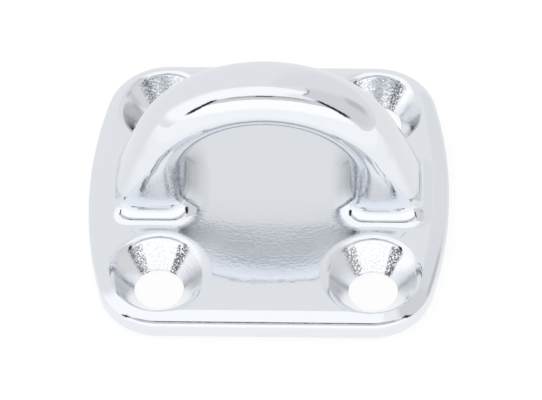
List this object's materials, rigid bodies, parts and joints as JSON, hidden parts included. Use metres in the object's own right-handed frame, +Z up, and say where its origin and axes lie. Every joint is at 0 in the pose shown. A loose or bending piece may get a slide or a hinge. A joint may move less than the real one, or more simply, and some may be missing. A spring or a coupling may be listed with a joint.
{
  "type": "square pad eye",
  "caption": "One-piece forged pad eye: a squarish plate with bowed sides and countersunk screw holes near its corners, and a bow over its middle that a shackle or block clips to.",
  "frame": {"origin": "centre of the plate's underside, on the face that lies on the deck", "axes": "+X along the bow from leg to leg, +Y towards the back edge, +Z up out of the deck"},
  "size_m": [0.0486, 0.045, 0.0281],
  "materials": {
    "polished_steel": "mirror polished stainless steel, satin in the countersinks"
  },
  "bodies": {
    "root": {"pad_eye": "polished_steel"}
  },
  "joints": []
}
